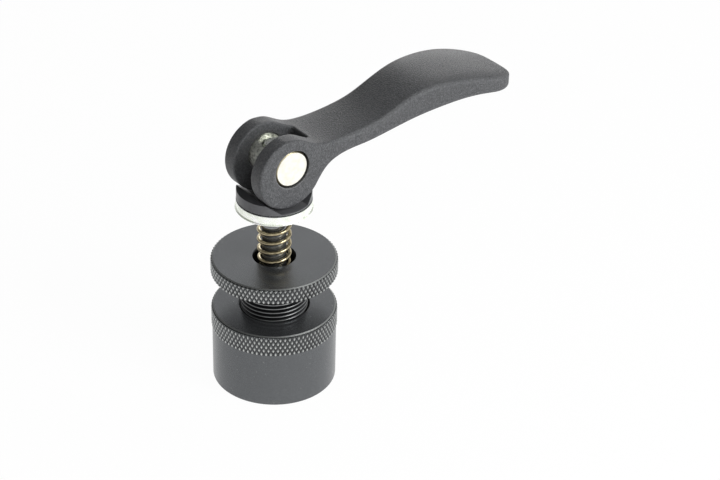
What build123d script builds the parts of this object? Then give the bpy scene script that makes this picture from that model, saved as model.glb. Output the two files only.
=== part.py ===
"""Cam lever clamp with an adjustable collar, built piece by piece.

Millimetres, +Z up. The origin is the centre of the base's underside, +X points
along the closed handle, and the barrel pin lies along Y.
"""
import os
from math import cos, hypot, pi, radians, sin, tan

from build123d import *

# Base: a turned post with a knurled band round its top
BASE_DIAMETER = 40.4
BASE_HEIGHT = 26.6
BASE_BAND_HEIGHT = 7.1
BASE_FLOOR = 15.0
BASE_BORE_DIAMETER = 22.2
BASE_EDGE_CHAMFER = 0.15
BORE_MOUTH_CHAMFER = 0.5
TAPPED_DIAMETER = 8.0
TAPPING_DRILL_DIAMETER = 6.8
MOUNT_THREAD_DEPTH = 7.0

# Knurl: diamonds rolled into the base's band and the collar's rim
KNURL_STAND = 0.3
KNURL_COUNT = 84
KNURL_DEPTH = 0.45
KNURL_ANGLE = 30.0
KNURL_RELIEF_WIDTH = 0.9
KNURL_RELIEF_HEIGHT = 0.7

# Collar: a knurled disc on a threaded neck
COLLAR_THICKNESS = 5.75
COLLAR_GAP = 12.25
NECK_DIAMETER = 21.8
NECK_LENGTH = 20.5
NECK_END_CHAMFER = 0.8
SPRING_BORE_DIAMETER = 13.5
SPRING_BORE_DEPTH = 10.0
STUD_CLEARANCE_DIAMETER = 8.7

# Spring: right-handed, closed ends
SPRING_OUTER_DIAMETER = 11.2
SPRING_WIRE_DIAMETER = 1.3
SPRING_PITCH = 3.5
SPRING_PHASE = 70.0
SPRING_END_GAP = 0.05

# Washer and thrust pad
CLAMP_GAP = 18.4
WASHER_DIAMETER = 24.9
WASHER_THICKNESS = 3.3
WASHER_LIP_WIDTH = 0.35
WASHER_LIP_HEIGHT = 0.35
WASHER_EDGE = 0.3
SPRING_RECESS_DIAMETER = 12.4
SPRING_RECESS_DEPTH = 1.4
PAD_DIAMETER = 24.0
PAD_HEIGHT = 3.5
PAD_EDGE = 0.3
TROUGH_WIDTH = 17.6
TROUGH_FLOOR_WIDTH = 10.0
TROUGH_FLOOR = 0.6

# Stud and barrel pin
STUD_DIAMETER = 7.8
STUD_ENGAGEMENT = 7.0
STUD_END_GAP = 0.2
STUD_CHAMFER = 0.9
STUD_TOP_DROP = 0.9
PIN_DIAMETER = 12.0
PIN_LENGTH = 18.8
PIN_CHAMFER = 0.5
PIN_SPOT_DIAMETER = 9.6
PIN_SPOT_DEPTH = 1.3

# Lever: a fork with two round cams, and a paddle handle
CAM_DIAMETER = 23.7
CAM_DROP = 1.7
CAM_SETBACK = 0.35
CAM_CLEARANCE = 0.3
FORK_WIDTH = 19.5
SLOT_WIDTH = 9.3
SLOT_REACH = 10.0
SLOT_CORNER = 1.5
PIN_HOLE_DIAMETER = 12.7
HANDLE_REACH = 89.5
HANDLE_RISE = 12.2
PADDLE_WIDTH = 25.9
HANDLE_EDGE = 0.8
SLOT_EDGE = 0.35
TOP_LEAVES_CAM = 100.0
UNDERSIDE_LEAVES_CAM = -34.0
OUTLINE_PULL = (0.3, 0.3)

# Handle outlines from the pin: share of HANDLE_REACH, then share of HANDLE_RISE
HANDLE_TOP = (
    (0.014, 0.798), (0.048, 0.706), (0.084, 0.560), (0.118, 0.456), (0.163, 0.402),
    (0.230, 0.395), (0.314, 0.444), (0.404, 0.572), (0.493, 0.816), (0.583, 0.990),
    (0.673, 1.000), (0.807, 0.862), (0.920, 0.642), (1.040, 0.390),
)
HANDLE_UNDERSIDE = (
    (0.134, -0.395), (0.178, -0.150), (0.247, -0.030), (0.320, 0.000), (0.404, 0.076),
    (0.583, 0.280), (0.673, 0.370), (0.751, 0.404), (0.830, 0.352), (0.953, 0.180),
    (1.040, 0.130),
)
# Side of the handle: share of HANDLE_REACH, then share of the paddle's swell past the fork
HANDLE_SIDE = (
    (0.090, 0.0), (0.269, 0.0), (0.448, 0.03), (0.538, 0.13), (0.628, 0.44),
    (0.717, 0.79), (0.845, 1.0), (0.930, 0.62), (0.985, -0.50),
)

# Sizes and heights that follow from those above
KNURL_DIAMETER = BASE_DIAMETER + 2 * KNURL_STAND
COLLAR_UNDERSIDE_Z = BASE_HEIGHT + COLLAR_GAP
COLLAR_TOP_Z = COLLAR_UNDERSIDE_Z + COLLAR_THICKNESS
SPRING_SEAT_Z = COLLAR_TOP_Z - SPRING_BORE_DEPTH
WASHER_Z = COLLAR_TOP_Z + CLAMP_GAP
PAD_Z = WASHER_Z + WASHER_THICKNESS
CAM_BOTTOM_Z = PAD_Z + TROUGH_FLOOR + CAM_CLEARANCE
PIN_Z = CAM_BOTTOM_Z + CAM_DIAMETER / 2 + CAM_DROP
EPS = 0.01
CUT_MARGIN = 1.0


def revolved(points):
    """Solid of revolution about Z from (radius, height) corners."""
    return revolve(Plane.XZ * make_face(Polyline(*points, close=True)), Axis.Z)


def knurled_band(bottom, top):
    """Closed drum from bottom to top whose side is one lattice of diamonds."""
    crest = KNURL_DIAMETER / 2
    columns = 2 * KNURL_COUNT
    half_width = pi * KNURL_DIAMETER / columns
    rows = max(2, round((top - bottom) * tan(radians(KNURL_ANGLE)) / half_width))

    def corner(i, j):
        raised = (i + j) % 2 == 0
        edge = j in (0, rows)
        radius = crest - (KNURL_DEPTH if edge or not raised else 0)
        angle = 2 * pi * i / columns
        height = bottom + (top - bottom) * j / rows
        return Vector(radius * cos(angle), radius * sin(angle), height)

    faces = []
    for j in range(rows):
        for i in range(columns):
            a, b = corner(i, j), corner(i + 1, j)
            c, d = corner(i + 1, j + 1), corner(i, j + 1)
            halves = ((a, b, d), (b, c, d)) if (i + j) % 2 == 0 else ((a, b, c), (a, c, d))
            faces += [Face(Wire.make_polygon(half)) for half in halves]
    for j in (0, rows):
        faces.append(Face(Wire.make_polygon([corner(i, j) for i in range(columns)])))
    return Solid(Shell(faces))


def make_base():
    """Post, bored for the collar's neck, its floor drilled and tapped from both sides."""
    radius = BASE_DIAMETER / 2
    valley = KNURL_DIAMETER / 2 - KNURL_DEPTH
    band_z = BASE_HEIGHT - BASE_BAND_HEIGHT
    rim_z = BASE_HEIGHT - KNURL_RELIEF_HEIGHT
    top_radius = KNURL_DIAMETER / 2 - KNURL_RELIEF_WIDTH
    post = revolved([
        (0, 0), (radius - BASE_EDGE_CHAMFER, 0), (radius, BASE_EDGE_CHAMFER),
        (radius, band_z), (valley - EPS, band_z + BASE_EDGE_CHAMFER),
        (valley - EPS, rim_z), (top_radius, BASE_HEIGHT), (0, BASE_HEIGHT),
    ])
    post += knurled_band(band_z + BASE_EDGE_CHAMFER, rim_z)
    bore = BASE_BORE_DIAMETER / 2
    mouth = bore + BORE_MOUTH_CHAMFER
    post -= revolved([
        (0, BASE_FLOOR), (bore, BASE_FLOOR), (bore, BASE_HEIGHT - BORE_MOUTH_CHAMFER),
        (mouth, BASE_HEIGHT), (mouth, BASE_HEIGHT + CUT_MARGIN), (0, BASE_HEIGHT + CUT_MARGIN),
    ])
    tapped = TAPPED_DIAMETER / 2
    drilled = TAPPING_DRILL_DIAMETER / 2
    stud_end = BASE_FLOOR - STUD_ENGAGEMENT - STUD_END_GAP
    return post - revolved([
        (0, -CUT_MARGIN), (tapped, -CUT_MARGIN), (tapped, MOUNT_THREAD_DEPTH),
        (drilled, MOUNT_THREAD_DEPTH), (drilled, stud_end), (tapped, stud_end),
        (tapped, BASE_FLOOR + CUT_MARGIN), (0, BASE_FLOOR + CUT_MARGIN),
    ])


def make_collar():
    """Knurled disc and neck, bored for the spring and cleared for the stud."""
    valley = KNURL_DIAMETER / 2 - KNURL_DEPTH
    top_radius = KNURL_DIAMETER / 2 - KNURL_RELIEF_WIDTH
    neck = NECK_DIAMETER / 2
    neck_end = COLLAR_UNDERSIDE_Z - NECK_LENGTH
    low = COLLAR_UNDERSIDE_Z + KNURL_RELIEF_HEIGHT
    high = COLLAR_TOP_Z - KNURL_RELIEF_HEIGHT
    collar = revolved([
        (0, neck_end), (neck - NECK_END_CHAMFER, neck_end),
        (neck, neck_end + NECK_END_CHAMFER), (neck, COLLAR_UNDERSIDE_Z),
        (top_radius, COLLAR_UNDERSIDE_Z), (valley - EPS, low), (valley - EPS, high),
        (top_radius, COLLAR_TOP_Z), (0, COLLAR_TOP_Z),
    ])
    collar += knurled_band(low, high)
    seat = SPRING_BORE_DIAMETER / 2
    clear = STUD_CLEARANCE_DIAMETER / 2
    return collar - revolved([
        (0, neck_end - CUT_MARGIN), (clear, neck_end - CUT_MARGIN), (clear, SPRING_SEAT_Z),
        (seat, SPRING_SEAT_Z), (seat, COLLAR_TOP_Z + CUT_MARGIN),
        (0, COLLAR_TOP_Z + CUT_MARGIN),
    ])


def make_spring():
    """Coil of even pitch with ground ends; six flats stand for the round wire."""
    radius = (SPRING_OUTER_DIAMETER - SPRING_WIRE_DIAMETER) / 2
    low = SPRING_SEAT_Z + SPRING_END_GAP
    high = WASHER_Z + SPRING_RECESS_DEPTH - SPRING_END_GAP
    path = Helix(SPRING_PITCH, high - low + SPRING_PITCH, radius)
    section = Plane(path @ 0, z_dir=path % 0) * RegularPolygon(SPRING_WIRE_DIAMETER / 2, 6)
    coil = sweep(section, path=path, is_frenet=True)
    coil = Pos(0, 0, low - SPRING_PITCH / 2) * Rot(0, 0, SPRING_PHASE) * coil
    return coil & Pos(0, 0, (low + high) / 2) * Cylinder(SPRING_OUTER_DIAMETER, high - low)


def make_washer():
    """Steel washer with a thin lip, recessed underneath for the spring's top coil."""
    lip = WASHER_DIAMETER / 2
    outer = lip - WASHER_LIP_WIDTH
    lip_z = WASHER_Z + WASHER_LIP_HEIGHT
    hole = STUD_CLEARANCE_DIAMETER / 2
    recess = SPRING_RECESS_DIAMETER / 2
    top = PAD_Z
    return revolved([
        (recess, WASHER_Z), (lip, WASHER_Z), (lip, lip_z), (outer, lip_z),
        (outer, top - WASHER_EDGE), (outer - WASHER_EDGE, top), (hole, top),
        (hole, WASHER_Z + SPRING_RECESS_DEPTH), (recess, WASHER_Z + SPRING_RECESS_DEPTH),
    ])


def make_thrust_pad():
    """Plastic saddle whose flat-bottomed trough takes the two cams."""
    outer = PAD_DIAMETER / 2
    top = PAD_Z + PAD_HEIGHT
    floor = PAD_Z + TROUGH_FLOOR
    near = TROUGH_FLOOR_WIDTH / 2
    far = TROUGH_WIDTH / 2
    pad = revolved([
        (STUD_CLEARANCE_DIAMETER / 2, PAD_Z), (outer - PAD_EDGE, PAD_Z),
        (outer, PAD_Z + PAD_EDGE), (outer, top), (STUD_CLEARANCE_DIAMETER / 2, top),
    ])
    trough = Polyline(
        (-far, top + CUT_MARGIN), (-far, top), (-near, floor), (near, floor),
        (far, top), (far, top + CUT_MARGIN), close=True,
    )
    return pad - extrude(Plane.XZ * make_face(trough), PAD_DIAMETER, both=True)


def make_stud():
    """Plain-shanked stud, screwed into the base's floor and the barrel pin."""
    radius = STUD_DIAMETER / 2
    low = BASE_FLOOR - STUD_ENGAGEMENT
    high = PIN_Z + PIN_DIAMETER / 2 - STUD_TOP_DROP
    return revolved([
        (0, low), (radius - STUD_CHAMFER, low), (radius, low + STUD_CHAMFER),
        (radius, high - STUD_CHAMFER), (radius - STUD_CHAMFER, high), (0, high),
    ])


def make_barrel_pin():
    """Cross pin: cam pivot at its ends, tapped across its middle for the stud."""
    pin = Cylinder(PIN_DIAMETER / 2, PIN_LENGTH)
    pin = chamfer(pin.edges().filter_by(GeomType.CIRCLE), PIN_CHAMFER)
    pin = Rot(90, 0, 0) * pin
    pin -= Cylinder(STUD_DIAMETER / 2, PIN_DIAMETER + CUT_MARGIN)
    spot = Cylinder(PIN_SPOT_DIAMETER / 2, PIN_SPOT_DEPTH + CUT_MARGIN)
    pin -= Pos(0, 0, (PIN_DIAMETER + CUT_MARGIN - PIN_SPOT_DEPTH) / 2) * spot
    return Pos(0, 0, PIN_Z) * pin


def on_cam(angle):
    """Point of the cam's outline, in XZ from the pin, and the travel direction there."""
    turn = radians(angle)
    x = CAM_DIAMETER / 2 * cos(turn) - CAM_SETBACK
    z = CAM_DIAMETER / 2 * sin(turn) - CAM_DROP
    return (x, z), (-sin(turn), cos(turn))


def scaled(stations, height, offset=0.0):
    """Outline stations turned into millimetres from the pin."""
    return [(along * HANDLE_REACH, share * height + offset) for along, share in stations]


def end_direction(points):
    """Unit direction of an outline's last step."""
    (x0, z0), (x1, z1) = points[-2:]
    length = hypot(x1 - x0, z1 - z0)
    return ((x1 - x0) / length, (z1 - z0) / length)


def rounded(solid, edges, radius):
    """The solid with those edges rounded, by the nearest radius its shape allows."""
    for share in (1.0, 0.95, 0.9, 0.8, 0.7, 0.5, 0.3):
        try:
            return fillet(edges, share * radius)
        except ValueError:
            continue
    return solid


def slot_edges(lever):
    """Edges where the fork's slot breaks through the casting's outside."""
    half = SLOT_WIDTH / 2
    found = []
    for edge in lever.edges():
        box = edge.bounding_box()
        inside = max(-box.min.Y, box.max.Y) < half + EPS and box.max.X < SLOT_REACH + EPS
        if inside and edge.geom_type != GeomType.LINE:
            found.append(edge)
    return found


def make_lever():
    """Fork, cams and paddle as one casting, in its closed position."""
    top_start, top_way = on_cam(TOP_LEAVES_CAM)
    under_start, under_way = on_cam(UNDERSIDE_LEAVES_CAM)
    nose, _ = on_cam(180)
    top = [top_start] + scaled(HANDLE_TOP, HANDLE_RISE)
    under = [under_start] + scaled(HANDLE_UNDERSIDE, HANDLE_RISE)
    top_ways = [(-top_way[0], -top_way[1]), end_direction(top)]
    under_ways = [under_way, end_direction(under)]
    upper = Spline(*top, tangents=top_ways, tangent_scalars=OUTLINE_PULL)
    lower = Spline(*under, tangents=under_ways, tangent_scalars=OUTLINE_PULL)
    outline = upper + lower + Line(top[-1], under[-1]) + ThreePointArc(top_start, nose, under_start)
    profile = extrude(Plane.XZ * make_face(outline), FORK_WIDTH, both=True)

    half = FORK_WIDTH / 2
    back = -CAM_DIAMETER
    side = scaled(HANDLE_SIDE, PADDLE_WIDTH / 2 - half, half)
    edge = Spline(*side, (HANDLE_REACH, 0), tangents=[(1, 0), (0, -1)])
    rim = Line((back, half), side[0]) + edge
    rim += mirror(rim, about=Plane.XZ) + Line((back, half), (back, -half))
    plan = extrude(make_face(rim), HANDLE_REACH, both=True)

    lever = profile & plan
    lever = rounded(lever, lever.edges(), HANDLE_EDGE)
    slot_length = SLOT_REACH - back
    slot = Pos((SLOT_REACH + back) / 2, 0, 0) * Rectangle(slot_length, SLOT_WIDTH)
    slot = fillet(slot.vertices().group_by(Axis.X)[-1], SLOT_CORNER)
    lever -= extrude(slot, CAM_DIAMETER, both=True)
    lever = rounded(lever, slot_edges(lever), SLOT_EDGE)
    lever -= Rot(90, 0, 0) * Cylinder(PIN_HOLE_DIAMETER / 2, FORK_WIDTH + CUT_MARGIN)
    return Pos(0, 0, PIN_Z) * lever


os.makedirs("parts", exist_ok=True)
export_step(make_base(), "parts/base.step")
export_step(make_collar(), "parts/collar.step")
export_step(make_spring(), "parts/spring.step")
export_step(make_washer(), "parts/washer.step")
export_step(make_thrust_pad(), "parts/thrust_pad.step")
export_step(make_stud(), "parts/stud.step")
export_step(make_barrel_pin(), "parts/barrel_pin.step")
export_step(make_lever(), "parts/lever.step")
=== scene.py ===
"""Cam lever clamp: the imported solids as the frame, dressed piece by piece from the base up."""

from math import ceil, cos, floor, pi, radians, sin

import bmesh
import bpy
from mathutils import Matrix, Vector


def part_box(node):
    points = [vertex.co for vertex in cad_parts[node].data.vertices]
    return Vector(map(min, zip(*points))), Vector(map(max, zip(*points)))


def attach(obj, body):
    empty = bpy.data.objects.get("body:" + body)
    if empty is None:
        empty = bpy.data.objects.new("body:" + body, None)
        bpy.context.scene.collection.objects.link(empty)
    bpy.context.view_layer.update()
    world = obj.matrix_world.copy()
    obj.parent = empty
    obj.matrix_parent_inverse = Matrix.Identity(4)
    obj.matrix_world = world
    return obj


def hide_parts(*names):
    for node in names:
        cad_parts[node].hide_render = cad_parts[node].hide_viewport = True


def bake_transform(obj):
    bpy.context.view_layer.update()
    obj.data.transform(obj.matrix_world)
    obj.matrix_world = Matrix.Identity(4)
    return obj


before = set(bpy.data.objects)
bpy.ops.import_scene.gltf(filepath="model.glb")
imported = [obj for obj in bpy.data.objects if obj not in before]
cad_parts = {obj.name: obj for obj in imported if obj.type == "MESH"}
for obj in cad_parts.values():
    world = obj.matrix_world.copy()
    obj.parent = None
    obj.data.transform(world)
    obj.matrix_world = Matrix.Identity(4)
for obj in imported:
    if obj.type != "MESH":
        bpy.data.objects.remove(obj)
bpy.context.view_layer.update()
mm = 0.001


# Base. A post turned from steel bar, with a diamond knurl rolled round its top and
# bored and threaded for the collar's neck. Its floor is tapped from both sides, and
# the whole is blackened in hot oxide and oiled.
base_low, base_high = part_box("base")
base_height = base_high.z - base_low.z
knurl_radius = (base_high.y - base_low.y) / 2
base_radius = knurl_radius - 0.3 * mm
base_band = 7.1 * mm
base_floor = 15.0 * mm
neck_bore = 11.1 * mm
neck_radius = 10.9 * mm
stud_hole = 4.0 * mm
tapping_drill = 3.4 * mm
stud_socket = 7.8 * mm
screw_socket = 7.0 * mm

neck_pitch = 1.5 * mm
stud_pitch = 1.25 * mm

# 84 diamonds round the bar, their grooves at 30 degrees to its axis, their points flattened.
knurls = 84
knurl_depth = 0.42 * mm
knurl_flat = 0.8
knurl_slope = 0.577
knurl_length = 2 * pi * knurl_radius / knurls / knurl_slope
knurl_steps = 4
columns = 2 * knurls * knurl_steps


def plain(radius, height):
    """A ring of the turned profile that is the same all the way round."""
    return lambda angle: (radius, height)


def triangle_wave(x):
    """0 at whole numbers, 1 half way between them."""
    return 1 - abs(1 - 2 * (x - floor(x)))


def knurled(bottom, top, limit):
    """Rings of a diamond knurl: two families of V grooves, cut off by limit(height)."""
    step = knurl_length / (2 * knurl_steps)
    count = ceil((top - bottom) / step)

    def ring(row):
        height = bottom + (top - bottom) * row / count

        def place(angle):
            around = angle * knurls / (2 * pi)
            along = height / knurl_length
            crest = min(triangle_wave(around + along), triangle_wave(around - along), knurl_flat)
            radius = knurl_radius - knurl_depth * (1 - crest / knurl_flat)
            return (min(radius, limit(height)), height)

        return place

    return [ring(row) for row in range(count + 1)]


def threaded(radius, depth, pitch, low, high):
    """Rings of a right-hand thread whose crests are at radius; a negative depth cuts outwards."""
    steps = (0.0, 0.1, 0.36, 0.41, 0.46, 0.54, 0.59, 0.64, 0.9)
    sink = (1.0, 1.0, 0.1, 0.025, 0.0, 0.0, 0.025, 0.1, 1.0)
    turns = ceil((high - low) / pitch) + 1

    def ring(turn, k):
        def place(angle):
            height = low + pitch * (turn - 1 + steps[k] + angle / (2 * pi))
            height = max(low, min(high, height))
            fade = min(1, (height - low) / (0.6 * pitch), (high - height) / (0.6 * pitch))
            return (radius - depth * (1 - (1 - sink[k]) * max(0, fade)), height)

        return place

    return [ring(turn, k) for turn in range(turns + 1) for k in range(len(steps))]


def turned(name, rings, around=columns, sharp=30):
    """A body of revolution from rings that run up its outside and back down its inside."""
    shape = bmesh.new()
    grid = []
    for ring in rings:
        places = [ring(2 * pi * column / around) for column in range(around + 1)]
        turns = [2 * pi * column / around for column in range(around + 1)]
        grid.append([
            shape.verts.new((radius * cos(turn), radius * sin(turn), height))
            for (radius, height), turn in zip(places, turns)
        ])
    for lower, upper in zip(grid, grid[1:]):
        for i in range(around):
            corners = (lower[i], lower[i + 1], upper[i + 1], upper[i])
            out = [corner.co.xy.length for corner in corners]
            lean = out[0] + out[2] - out[1] - out[3]
            if abs(lean) < 1e-9:
                shape.faces.new(corners)
                continue
            first = 0 if lean < 0 else 1
            a, b, c, d = (corners[(first + k) % 4] for k in range(4))
            shape.faces.new((a, b, c))
            shape.faces.new((a, c, d))
    bmesh.ops.remove_doubles(shape, verts=shape.verts, dist=1e-6)
    bmesh.ops.dissolve_degenerate(shape, edges=shape.edges, dist=1e-7)
    bmesh.ops.recalc_face_normals(shape, faces=shape.faces)
    mesh = bpy.data.meshes.new(name)
    shape.to_mesh(mesh)
    shape.free()
    mesh.shade_smooth()
    mesh.set_sharp_from_angle(angle=radians(sharp))
    piece = bpy.data.objects.new(name, mesh)
    bpy.context.scene.collection.objects.link(piece)
    return piece


def linear(code):
    """sRGB hex to linear colour with alpha."""
    channels = [int(code[k:k + 2], 16) / 255 for k in (1, 3, 5)]
    return [c / 12.92 if c <= 0.04045 else ((c + 0.055) / 1.055) ** 2.4 for c in channels] + [1.0]


def node(tree, kind, links=None, stops=(), **settings):
    """A shader node with its settings, its colour stops and its inputs, as values or sockets."""
    made = tree.nodes.new("ShaderNode" + kind)
    for name, value in settings.items():
        setattr(made, name, value)
    for k, (position, code) in enumerate(stops):
        if k > 1:
            made.color_ramp.elements.new(position)
        made.color_ramp.elements[k].position = position
        made.color_ramp.elements[k].color = linear(code)
    for name, value in (links or {}).items():
        socket = made.inputs[name]
        if isinstance(value, bpy.types.NodeSocket):
            tree.links.new(value, socket)
        else:
            socket.default_value = value
    return made


def material(name):
    """A new material, its node tree and its Principled shader."""
    made = bpy.data.materials.new(name)
    made.use_nodes = True
    return made, made.node_tree, made.node_tree.nodes["Principled BSDF"]


# Black oxide on turned steel: a dark metal, smooth enough to mirror what stands on it
# dimly, with a fine grain and a few pale specks of dust.
black_oxide, tree, shader = material("black_oxide_steel")
place = node(tree, "TexCoord").outputs["Object"]
grain = node(tree, "TexNoise", {"Vector": place, "Scale": 1 / (0.5 * mm), "Detail": 3.0})
oxide = node(
    tree, "ValToRGB", {"Fac": grain.outputs["Fac"]},
    stops=[(0.3, "#5c5e60"), (0.5, "#616365"), (0.7, "#67696b")],
)
dust = node(tree, "TexVoronoi", {"Vector": place, "Scale": 1 / (2.6 * mm)})
speck = node(tree, "MapRange", {
    "Value": dust.outputs["Distance"], "From Min": 0.045, "From Max": 0.075, "To Min": 0.5, "To Max": 0.0,
})
dusty = node(tree, "Mix", {
    "Factor": speck.outputs[0], 6: oxide.outputs["Color"], 7: linear("#a9aaa8"),
}, data_type="RGBA")
tree.links.new(dusty.outputs[2], shader.inputs["Base Color"])
rough = node(tree, "MapRange", {"Value": grain.outputs["Fac"], "To Min": 0.2, "To Max": 0.3})
tree.links.new(rough.outputs[0], shader.inputs["Roughness"])
shader.inputs["Metallic"].default_value = 0.8
shader.inputs["Anisotropic"].default_value = 0.7
around = node(tree, "Tangent", direction_type="RADIAL", axis="Z")
tree.links.new(around.outputs[0], shader.inputs["Tangent"])
bump = node(tree, "Bump", {"Height": grain.outputs["Fac"], "Strength": 0.06, "Distance": 0.05 * mm})
tree.links.new(bump.outputs[0], shader.inputs["Normal"])

# A cut thread takes the same blackening, with colour painted by radius: pale crests are a
# painted highlight, thin lines over flanks darkened as painted shade.
thread_oxide, tree, shader = material("black_oxide_thread")
place = node(tree, "TexCoord").outputs["Object"]
across = node(tree, "VectorMath", {0: place, 1: (1.0, 1.0, 0.0)}, operation="MULTIPLY")
out = node(tree, "VectorMath", {0: across.outputs[0]}, operation="LENGTH")
crest = node(tree, "MapRange", {
    "Value": out.outputs["Value"], "From Min": neck_radius - 0.25 * mm, "From Max": neck_radius,
})
crest_highlight_flank_shade = node(
    tree, "ValToRGB", {"Fac": crest.outputs[0]},
    stops=[(0.0, "#3a3b3c"), (0.6, "#4c4d4e"), (1.0, "#a2a4a4")],
)
tree.links.new(crest_highlight_flank_shade.outputs["Color"], shader.inputs["Base Color"])
shader.inputs["Metallic"].default_value = 0.95
shader.inputs["Roughness"].default_value = 0.28

# The knurl's colour is painted by radius: its grooves are darkened to thin black lines as
# painted shade, while its points are rubbed to grey steel.
knurl_wear_and_groove_shade, tree, shader = material("knurl_wear_and_groove_shade")
place = node(tree, "TexCoord").outputs["Object"]
across = node(tree, "VectorMath", {0: place, 1: (1.0, 1.0, 0.0)}, operation="MULTIPLY")
out = node(tree, "VectorMath", {0: across.outputs[0]}, operation="LENGTH")
rub = node(tree, "MapRange", {
    "Value": out.outputs["Value"], "From Min": knurl_radius - knurl_depth, "From Max": knurl_radius,
})
tone_ramp = node(
    tree, "ValToRGB", {"Fac": rub.outputs[0]},
    stops=[(0.0, "#161718"), (0.22, "#525455"), (0.7, "#8a8c8c"), (1.0, "#d8d9d6")],
)
tree.links.new(tone_ramp.outputs["Color"], shader.inputs["Base Color"])
shader.inputs["Metallic"].default_value = 1.0
shader.inputs["Roughness"].default_value = 0.24

# The chamfers beside it are a lighter satin grey all round: painted sheen for the light they catch.
chamfer_sheen, tree, shader = material("chamfer_sheen")
shader.inputs["Base Color"].default_value = linear("#828483")
shader.inputs["Metallic"].default_value = 1.0
shader.inputs["Roughness"].default_value = 0.45

edge = 0.15 * mm
band_z = base_height - base_band
rim_depth = 0.9 * mm
rim_width = 0.7 * mm
rim_radius = knurl_radius - rim_depth
rim_slope = rim_depth / rim_width
mouth = neck_bore + 0.5 * mm


def base_limit(height):
    """Largest radius that the base's top chamfer leaves at a height."""
    return min(knurl_radius, rim_radius + (base_height - height) * rim_slope)


def rub_knurl(piece, low, high, limit):
    """Gives the knurled faces between two heights their wear and painted groove shade, and the chamfers
    their painted sheen.
    """
    piece.data.materials.append(knurl_wear_and_groove_shade)
    piece.data.materials.append(chamfer_sheen)
    for face in piece.data.polygons:
        radius = face.center.xy.length
        if low < face.center.z < high and radius > rim_radius:
            cut = limit(face.center.z) < knurl_radius - 0.01 * mm
            face.material_index = 2 if cut and radius > limit(face.center.z) - 0.03 * mm else 1


base = turned(
    "base_body",
    [
        plain(stud_hole, 0),
        plain(base_radius - edge, 0),
        plain(base_radius, edge),
        plain(base_radius, band_z - 0.1 * mm),
        plain(base_radius, band_z),
    ]
    + knurled(band_z + 0.05 * mm, base_height, base_limit)
    + [plain(rim_radius - 0.15 * mm, base_height), plain(mouth, base_height)],
    sharp=22,
)
base.data.materials.append(black_oxide)
rub_knurl(base, band_z + 0.03 * mm, base_height - 0.01 * mm, base_limit)

bore = turned(
    "base_bore",
    [plain(mouth, base_height), plain(neck_bore, base_height - 0.5 * mm)]
    + threaded(neck_bore, -0.5 * mm, neck_pitch, base_floor + 1.5 * mm, base_height - 0.6 * mm)[::-1]
    + [
        plain(neck_bore, base_floor),
        plain(stud_hole + 0.4 * mm, base_floor),
        plain(stud_hole, base_floor - 0.4 * mm),
        plain(stud_hole, stud_socket),
        plain(tapping_drill, stud_socket),
        plain(tapping_drill, screw_socket),
    ]
    + threaded(stud_hole - 0.5 * mm, -0.5 * mm, stud_pitch, 0.2 * mm, screw_socket)[::-1]
    + [plain(stud_hole, 0)],
    around=160,
)
bore.data.materials.append(black_oxide)
for piece in (base, bore):
    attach(piece, "base")
    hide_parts("base")


# Collar. A knurled disc and its threaded neck, turned in one and blackened like the base.
# It screws up and down in the base to set the clamping height, and its counterbore
# holds the foot of the spring.
collar_low, collar_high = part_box("collar")
collar_top = collar_high.z
disc_thickness = 5.75 * mm
collar_under = collar_top - disc_thickness
spring_low, spring_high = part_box("spring")
spring_bore = 6.75 * mm
spring_bore_depth = 10 * mm
spring_seat = collar_top - spring_bore_depth
stud_way = 4.35 * mm
neck_thread = 0.8 * mm
neck_root = neck_radius - neck_thread


def collar_limit(height):
    """Largest radius that the disc's two chamfers leave at a height."""
    return min(knurl_radius, rim_radius + min(collar_top - height, height - collar_under) * rim_slope)


disc = turned(
    "collar_disc",
    [plain(neck_root, collar_under), plain(rim_radius - 0.15 * mm, collar_under)]
    + knurled(collar_under, collar_top, collar_limit)
    + [plain(rim_radius - 0.15 * mm, collar_top), plain(spring_bore + 0.3 * mm, collar_top)],
    sharp=22,
)
disc.data.materials.append(black_oxide)
rub_knurl(disc, collar_under + 0.01 * mm, collar_top - 0.01 * mm, collar_limit)

neck = turned(
    "collar_neck",
    [
        plain(spring_bore + 0.3 * mm, collar_top),
        plain(spring_bore, collar_top - 0.3 * mm),
        plain(spring_bore, spring_seat),
        plain(stud_way, spring_seat),
        plain(stud_way, collar_low.z),
        plain(neck_root, collar_low.z),
    ]
    + threaded(neck_radius, neck_thread, neck_pitch, collar_low.z + 0.3 * mm, collar_under - 0.2 * mm)
    + [plain(neck_root, collar_under)],
    around=160,
    sharp=45,
)
neck.data.materials.append(thread_oxide)
for piece in (disc, neck):
    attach(piece, "collar")
    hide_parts("collar")


# Spring. Round music wire wound cold to an even pitch, its ends closed and ground flat.
# It sits in the collar's counterbore and pushes the washer up into the cams.
wire_radius = 0.65 * mm
coil_radius = 4.95 * mm
coil_pitch = 3.5 * mm
coil_start = -125.5
coil_start_z = 45.0 * mm
spring_height = spring_high.z - spring_low.z
open_turns = (spring_height - 3 * wire_radius) / coil_pitch
wire_sides = 16
turn_steps = 64

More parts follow.
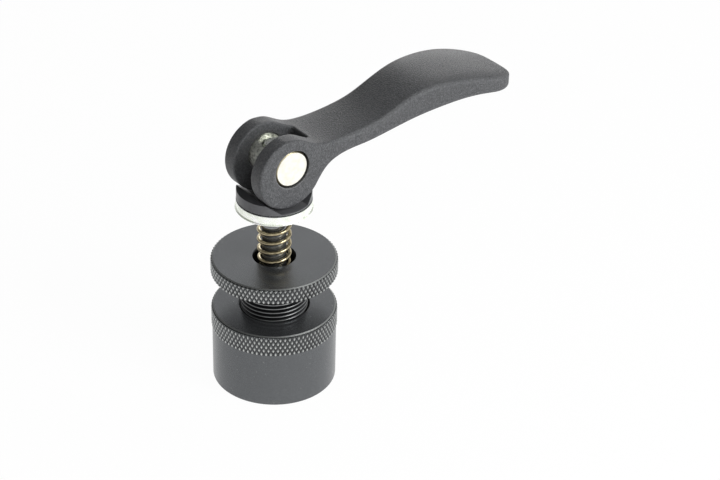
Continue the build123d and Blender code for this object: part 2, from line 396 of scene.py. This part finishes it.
shape = bmesh.new()
rings = []
for step in range(int((open_turns + 1.5) * turn_steps) + 1):
    turn = step / turn_steps - 0.75
    even = spring_low.z + wire_radius + coil_pitch * turn
    closed = spring_low.z + wire_radius * (0.6 + 0.5 * min(1, (turn + 0.75) / 0.75))
    height = min(spring_high.z - wire_radius, max(closed, even))
    angle = radians(coil_start) + 2 * pi * (even - coil_start_z) / coil_pitch
    outward = Vector((cos(angle), sin(angle), 0))
    centre = coil_radius * outward + Vector((0, 0, height))
    ring = []
    for side in range(wire_sides):
        t = 2 * pi * side / wire_sides
        ring.append(shape.verts.new(centre + wire_radius * (cos(t) * outward + Vector((0, 0, sin(t))))))
    rings.append(ring)
for one, two in zip(rings, rings[1:]):
    for side in range(wire_sides):
        following = (side + 1) % wire_sides
        shape.faces.new((one[side], one[following], two[following], two[side]))
shape.faces.new(rings[0])
shape.faces.new(rings[-1])
bmesh.ops.recalc_face_normals(shape, faces=shape.faces)
spring_mesh = bpy.data.meshes.new("coil_spring")
shape.to_mesh(spring_mesh)
shape.free()
spring_mesh.shade_smooth()
spring = bpy.data.objects.new("coil_spring", spring_mesh)
bpy.context.scene.collection.objects.link(spring)

# Drawn spring wire, tempered to a dark straw: smooth, with one thin bright line along it.
spring_wire, tree, shader = material("tempered_spring_wire")
place = node(tree, "TexCoord").outputs["Object"]
film = node(tree, "TexNoise", {"Vector": place, "Scale": 1 / (1.2 * mm), "Detail": 2.0})
straw = node(tree, "ValToRGB", {"Fac": film.outputs["Fac"]}, stops=[(0.3, "#a0957a"), (0.7, "#b9ad8e")])
tree.links.new(straw.outputs["Color"], shader.inputs["Base Color"])
shader.inputs["Metallic"].default_value = 1.0
shader.inputs["Roughness"].default_value = 0.15
spring_mesh.materials.append(spring_wire)
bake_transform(spring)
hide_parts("spring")


# Stud. An M8 stud of hardened steel with a plain blackened shank, screwed into the base's
# floor below and into the barrel pin above, where its faced end shows.
stud_low, stud_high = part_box("stud")
stud_radius = (stud_high.y - stud_low.y) / 2
stud_thread = 0.7 * mm
thread_end = 12 * mm
stud = turned(
    "clamping_stud",
    [plain(0, stud_low.z), plain(stud_radius - 0.9 * mm, stud_low.z)]
    + threaded(stud_radius, stud_thread, stud_pitch, stud_low.z + 0.3 * mm, stud_low.z + thread_end)
    + [
        plain(stud_radius, stud_low.z + thread_end + 0.8 * mm),
        plain(stud_radius, stud_high.z - thread_end - 0.8 * mm),
    ]
    + threaded(stud_radius, stud_thread, stud_pitch, stud_high.z - thread_end, stud_high.z - 0.6 * mm)
    + [plain(stud_radius - 0.8 * mm, stud_high.z), plain(0, stud_high.z)],
    around=96,
)

# Ground and blackened rod: dark and glossy, so that it mirrors the coils round it.
black_rod, tree, shader = material("blackened_ground_rod")
shader.inputs["Base Color"].default_value = linear("#858787")
shader.inputs["Metallic"].default_value = 0.85
shader.inputs["Roughness"].default_value = 0.08

# Zinc plate: a bright pale metal with a faint green cast, clouded where the passivate ran.
zinc_plate, tree, shader = material("zinc_plated_steel")
place = node(tree, "TexCoord").outputs["Object"]
cloud = node(tree, "TexNoise", {"Vector": place, "Scale": 1 / (2.0 * mm), "Detail": 4.0})
zinc = node(
    tree, "ValToRGB", {"Fac": cloud.outputs["Fac"]},
    stops=[(0.3, "#e6ebe0"), (0.5, "#f6faf0"), (0.7, "#ffffff")],
)
tree.links.new(zinc.outputs["Color"], shader.inputs["Base Color"])
rough = node(tree, "MapRange", {"Value": cloud.outputs["Fac"], "To Min": 0.15, "To Max": 0.35})
tree.links.new(rough.outputs[0], shader.inputs["Roughness"])
shader.inputs["Metallic"].default_value = 0.8

stud.data.materials.append(black_rod)
stud.data.materials.append(zinc_plate)
for face in stud.data.polygons:
    face.material_index = int(face.center.z > stud_high.z - 0.9 * mm)
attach(stud, "head")
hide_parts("stud")


# Barrel pin. A cross pin turned from bright bar: its ends are the lever's pivot, and its
# middle is spot faced and tapped across for the stud.
pin_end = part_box("barrel_pin")[1].y
face_depth = 1.0 * mm

# Bright turned steel: nearly white, a little warm, with a soft haze left by the tool.
bright_steel, tree, shader = material("turned_bright_steel")
place = node(tree, "TexCoord").outputs["Object"]
haze = node(tree, "TexNoise", {"Vector": place, "Scale": 1 / (1.5 * mm), "Detail": 5.0})
warm = node(
    tree, "ValToRGB", {"Fac": haze.outputs["Fac"]},
    stops=[(0.3, "#f0ede0"), (0.5, "#f6f4ea"), (0.7, "#fbfaf3")],
)
tree.links.new(warm.outputs["Color"], shader.inputs["Base Color"])
rough = node(tree, "MapRange", {"Value": haze.outputs["Fac"], "To Min": 0.25, "To Max": 0.45})
tree.links.new(rough.outputs[0], shader.inputs["Roughness"])
shader.inputs["Metallic"].default_value = 0.8

# The chamfer round each end of the pin keeps the straw colour of the tempering.
straw_chamfer, tree, shader = material("straw_tempered_chamfer")
shader.inputs["Base Color"].default_value = linear("#c9bf9f")
shader.inputs["Metallic"].default_value = 1.0
shader.inputs["Roughness"].default_value = 0.3

# Its middle is duller: satin steel, mottled grey and darker overall than the ends.
satin_steel, tree, shader = material("mottled_satin_steel")
place = node(tree, "TexCoord").outputs["Object"]
mottle = node(tree, "TexNoise", {"Vector": place, "Scale": 1 / (1.0 * mm), "Detail": 4.0})
tone_ramp = node(
    tree, "ValToRGB", {"Fac": mottle.outputs["Fac"]},
    stops=[(0.35, "#a9aba2"), (0.5, "#d3d5cb"), (0.65, "#f4f5ec")],
)
tree.links.new(tone_ramp.outputs["Color"], shader.inputs["Base Color"])
shader.inputs["Metallic"].default_value = 0.8
shader.inputs["Roughness"].default_value = 0.4

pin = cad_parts["barrel_pin"]
pin.data.materials.clear()
for finish in (bright_steel, straw_chamfer, satin_steel):
    pin.data.materials.append(finish)
for face in pin.data.polygons:
    if pin_end - abs(face.center.y) > face_depth:
        face.material_index = 2
    elif abs(face.normal.y) < 0.9:
        face.material_index = 1
pin.data.shade_smooth()
pin.data.set_sharp_from_angle(angle=radians(30))


# Washer. A thick steel washer with a thin lip round its foot, recessed underneath for the
# spring's top coil and zinc plated. It carries the thrust pad, and the rounded edge under
# the pad is given the dark oxide as painted shadow, for the shade in the joint between the two.
washer_low, washer_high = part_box("washer")
lip_radius = (washer_high.y - washer_low.y) / 2
lip = 0.35 * mm
washer_radius = lip_radius - lip
lip_z = washer_low.z + lip
washer_edge = 0.3 * mm
coil_recess = 6.2 * mm
recess_z = washer_low.z + 1.4 * mm
washer = turned(
    "stepped_washer",
    [
        plain(coil_recess, washer_low.z),
        plain(lip_radius - 0.08 * mm, washer_low.z),
        plain(lip_radius, washer_low.z + 0.08 * mm),
        plain(lip_radius, lip_z - 0.08 * mm),
        plain(lip_radius - 0.08 * mm, lip_z),
        plain(washer_radius, lip_z),
        plain(washer_radius, washer_high.z - washer_edge),
        plain(washer_radius - 0.1 * mm, washer_high.z - 0.1 * mm),
        plain(washer_radius - washer_edge, washer_high.z),
        plain(stud_way, washer_high.z),
        plain(stud_way, recess_z),
        plain(coil_recess, recess_z),
        plain(coil_recess, washer_low.z),
    ],
    around=160,
)
washer.data.materials.append(zinc_plate)
washer.data.materials.append(black_oxide)
# Painted shadow: the rounded top edge under the pad takes the dark oxide.
for face in washer.data.polygons:
    outside = face.center.xy.length > washer_radius - washer_edge
    face.material_index = int(outside and face.center.z > washer_high.z - washer_edge)
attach(washer, "pad")
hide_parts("washer")


# Thrust pad. A saddle moulded in black acetal. The two cams bear on its trough.
# The mould leaves an even satin skin and slightly rounded edges.
acetal, tree, shader = material("black_acetal")
place = node(tree, "TexCoord").outputs["Object"]
skin = node(tree, "TexNoise", {"Vector": place, "Scale": 1 / (0.6 * mm), "Detail": 3.0})
dark = node(tree, "ValToRGB", {"Fac": skin.outputs["Fac"]}, stops=[(0.3, "#48494b"), (0.7, "#525355")])
tree.links.new(dark.outputs["Color"], shader.inputs["Base Color"])
shader.inputs["Roughness"].default_value = 0.38
bump = node(tree, "Bump", {"Height": skin.outputs["Fac"], "Strength": 0.12, "Distance": 0.05 * mm})
tree.links.new(bump.outputs[0], shader.inputs["Normal"])

# Its rounded edges get a lighter grey, a painted highlight for the thin lines of light they catch.
pad_edge_highlight, tree, shader = material("acetal_edge_painted_highlight")
shader.inputs["Base Color"].default_value = linear("#747577")
shader.inputs["Roughness"].default_value = 0.3

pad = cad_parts["thrust_pad"]
pad.data.materials.clear()
pad.data.materials.append(acetal)
pad.data.materials.append(pad_edge_highlight)
pad.data.shade_smooth()
pad.data.set_sharp_from_angle(angle=radians(30))
rounding = pad.modifiers.new("moulded_edges", "BEVEL")
rounding.width = 0.3 * mm
rounding.segments = 3
# The bevel's rounded faces take the painted edge highlight.
rounding.material = 1
rounding.limit_method = "ANGLE"
rounding.angle_limit = radians(25)


# Lever. One zinc die casting: a fork with two eccentric cams and a paddle handle, coated
# in fine-textured black powder.
# The powder melts to a matt skin of small bumps, drawn 0.5 mm across so that they show.
powder, tree, shader = material("black_powder_coat")
handle_start = 8 * mm
handle_full = 24 * mm
cam_edge = 1.0 * mm
handle_edge = 2.6 * mm
place = node(tree, "TexCoord").outputs["Object"]
texture = node(tree, "TexNoise", {
    "Vector": place, "Scale": 1 / (0.5 * mm), "Detail": 3.0, "Roughness": 0.6,
})
black = node(
    tree, "ValToRGB", {"Fac": texture.outputs["Fac"]},
    stops=[(0.35, "#313234"), (0.5, "#3e3f41"), (0.65, "#4f5052")],
)

# The coat rounds every edge in shading, the handle's more than the cams', and the paler
# colour along them is a painted highlight.
along = node(tree, "SeparateXYZ", {0: place}).outputs["X"]
roll = node(tree, "MapRange", {
    "Value": along, "From Min": handle_start, "From Max": handle_full,
    "To Min": cam_edge, "To Max": handle_edge,
}, interpolation_type="SMOOTHSTEP")
eased = node(tree, "Bevel", {"Radius": roll.outputs[0]}, samples=8)
real = node(tree, "NewGeometry")
turn = node(tree, "VectorMath", {0: eased.outputs[0], 1: real.outputs["Normal"]}, operation="DOT_PRODUCT")
edge_highlight_amount = node(tree, "MapRange", {
    "Value": turn.outputs["Value"], "From Min": 0.75, "From Max": 0.97, "To Min": 0.5, "To Max": 0.0,
})
coat_with_edge_highlight = node(tree, "Mix", {
    "Factor": edge_highlight_amount.outputs[0], 6: black.outputs["Color"], 7: linear("#858688"),
}, data_type="RGBA")
tree.links.new(coat_with_edge_highlight.outputs[2], shader.inputs["Base Color"])
shader.inputs["Roughness"].default_value = 0.5
shader.inputs["Specular IOR Level"].default_value = 0.55

# The handle's top is crowned across: it falls by crown_square y^2 + crown_fourth y^4 metres.
crown_square = 5.0
crown_fourth = 80000.0
side = node(tree, "SeparateXYZ", {0: place}).outputs["Y"]
square = node(tree, "Math", {0: side, 1: side}, operation="MULTIPLY")
steep = node(tree, "Math", {
    0: square.outputs[0], 1: crown_fourth, 2: crown_square,
}, operation="MULTIPLY_ADD")
drop = node(tree, "Math", {0: square.outputs[0], 1: steep.outputs[0]}, operation="MULTIPLY")
handle = node(tree, "MapRange", {
    "Value": along, "From Min": handle_start, "From Max": handle_full, "To Min": 0.0, "To Max": -1.1,
}, interpolation_type="SMOOTHSTEP")
crown = node(tree, "Math", {0: drop.outputs[0], 1: handle.outputs[0]}, operation="MULTIPLY")
soft = node(tree, "Bump", {
    "Height": crown.outputs[0], "Strength": 1.0, "Distance": 1.0, "Normal": eased.outputs[0],
})
bump = node(tree, "Bump", {
    "Height": texture.outputs["Fac"], "Strength": 1.0, "Distance": 0.3 * mm, "Normal": soft.outputs[0],
})
tree.links.new(bump.outputs[0], shader.inputs["Normal"])
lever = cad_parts["lever"]
lever.data.materials.clear()
lever.data.materials.append(powder)


# Studio. A white paper sweep under a white tent whose roof and left side are dim. Soft
# lamps stand front left and front right, one hangs high in front and one rakes from behind.
floor_mesh = bpy.data.meshes.new("floor")
reach = 3.0
floor_mesh.from_pydata(
    [(-reach, -reach, 0), (reach, -reach, 0), (reach, reach, 0), (-reach, reach, 0)], [], [(0, 1, 2, 3)]
)
floor_sheet = bpy.data.objects.new("floor", floor_mesh)
floor_sheet.location.z = -0.05 * mm
bpy.context.scene.collection.objects.link(floor_sheet)
paper, tree, shader = material("white_paper")
shader.inputs["Base Color"].default_value = linear("#ffffff")
shader.inputs["Roughness"].default_value = 0.9
glow = node(tree, "Emission", {"Color": linear("#ffffff"), "Strength": 1.0})
seen = node(tree, "LightPath")
either = node(tree, "Math", {
    0: seen.outputs["Is Camera Ray"], 1: seen.outputs["Is Glossy Ray"],
}, operation="MAXIMUM")
share = node(tree, "Math", {0: either.outputs[0], 1: 0.97}, operation="MULTIPLY")
blend = node(tree, "MixShader", {0: share.outputs[0], 1: shader.outputs[0], 2: glow.outputs[0]})
tree.links.new(blend.outputs[0], tree.nodes["Material Output"].inputs["Surface"])
floor_mesh.materials.append(paper)

world = bpy.data.worlds.new("tent")
bpy.context.scene.world = world
world.use_nodes = True
tree = world.node_tree
directions = node(tree, "TexCoord").outputs["Generated"]
height = node(tree, "SeparateXYZ", {0: directions})
cloth = node(
    tree, "ValToRGB", {"Fac": height.outputs["Z"]},
    stops=[(0.0, "#ffffff"), (0.63, "#ffffff"), (0.78, "#909090"), (1.0, "#6a6a6a")],
)
heading = node(tree, "VectorMath", {0: directions, 1: (0.81, -0.58, 0.0)}, operation="DOT_PRODUCT")
left = node(tree, "MapRange", {
    "Value": heading.outputs["Value"], "From Min": -0.7, "From Max": -0.2, "To Min": 0.3, "To Max": 1.0,
})
toward = node(tree, "VectorMath", {0: directions, 1: (-0.57, -0.8, 0.18)}, operation="DOT_PRODUCT")
slot = node(tree, "MapRange", {
    "Value": toward.outputs["Value"], "From Min": 0.97, "From Max": 0.985, "To Min": 1.0, "To Max": 0.1,
})
shade = node(tree, "Math", {0: left.outputs[0], 1: slot.outputs[0]}, operation="MULTIPLY")
dim = node(tree, "Mix", {
    "Factor": 1.0, 6: cloth.outputs["Color"], 7: shade.outputs[0],
}, data_type="RGBA", blend_type="MULTIPLY")
seen = node(tree, "LightPath")
either = node(tree, "Math", {
    0: seen.outputs["Is Camera Ray"], 1: seen.outputs["Is Glossy Ray"],
}, operation="MAXIMUM")
power = node(tree, "MapRange", {"Value": either.outputs[0], "To Min": 0.6, "To Max": 1.0})
background = tree.nodes["Background"]
tree.links.new(dim.outputs[2], background.inputs["Color"])
tree.links.new(power.outputs[0], background.inputs["Strength"])


def softbox(name, place, aim, width, height, power):
    """A rectangular area lamp at place, turned to aim."""
    lamp = bpy.data.lights.new(name, "AREA")
    lamp.shape = "RECTANGLE"
    lamp.size = width
    lamp.size_y = height
    lamp.energy = power
    made = bpy.data.objects.new(name, lamp)
    made.location = place
    made.rotation_euler = (Vector(aim) - Vector(place)).to_track_quat("-Z", "Y").to_euler()
    bpy.context.scene.collection.objects.link(made)
    return made


softbox("front_left", (-0.75, -0.65, 0.4), (0, 0, 0.05), 0.9, 0.5, 1.6).visible_glossy = False
softbox("front_right", (0.3, -0.95, 0.25), (0.02, 0, 0.06), 0.5, 0.4, 7.0).visible_glossy = False
softbox("edge_light", (0.25, -0.6, 0.5), (0.02, 0, 0.07), 0.4, 0.4, 3.5)
softbox("back_rim", (0.7, 0.8, 0.2), (0.08, 0, 0.1), 0.6, 0.3, 1.4)

camera_data = bpy.data.cameras.new("camera")
camera = bpy.data.objects.new("camera", camera_data)
bpy.context.scene.collection.objects.link(camera)
target = Vector((0, 0, 22.5 * mm))
distance = 664.6 * mm
elevation = radians(34.35)
azimuth = radians(-125.54)
away = Vector((cos(elevation) * cos(azimuth), cos(elevation) * sin(azimuth), sin(elevation)))
camera.location = target + distance * away
camera.rotation_euler = (-away).to_track_quat("-Z", "Y").to_euler()
camera_data.sensor_width = 36
camera_data.lens = 102.15
camera_data.shift_x = 0.1191
camera_data.shift_y = 0.1005
camera_data.clip_start = 0.01
camera_data.clip_end = 20
bpy.context.scene.camera = camera
bpy.context.scene.view_settings.view_transform = "Standard"
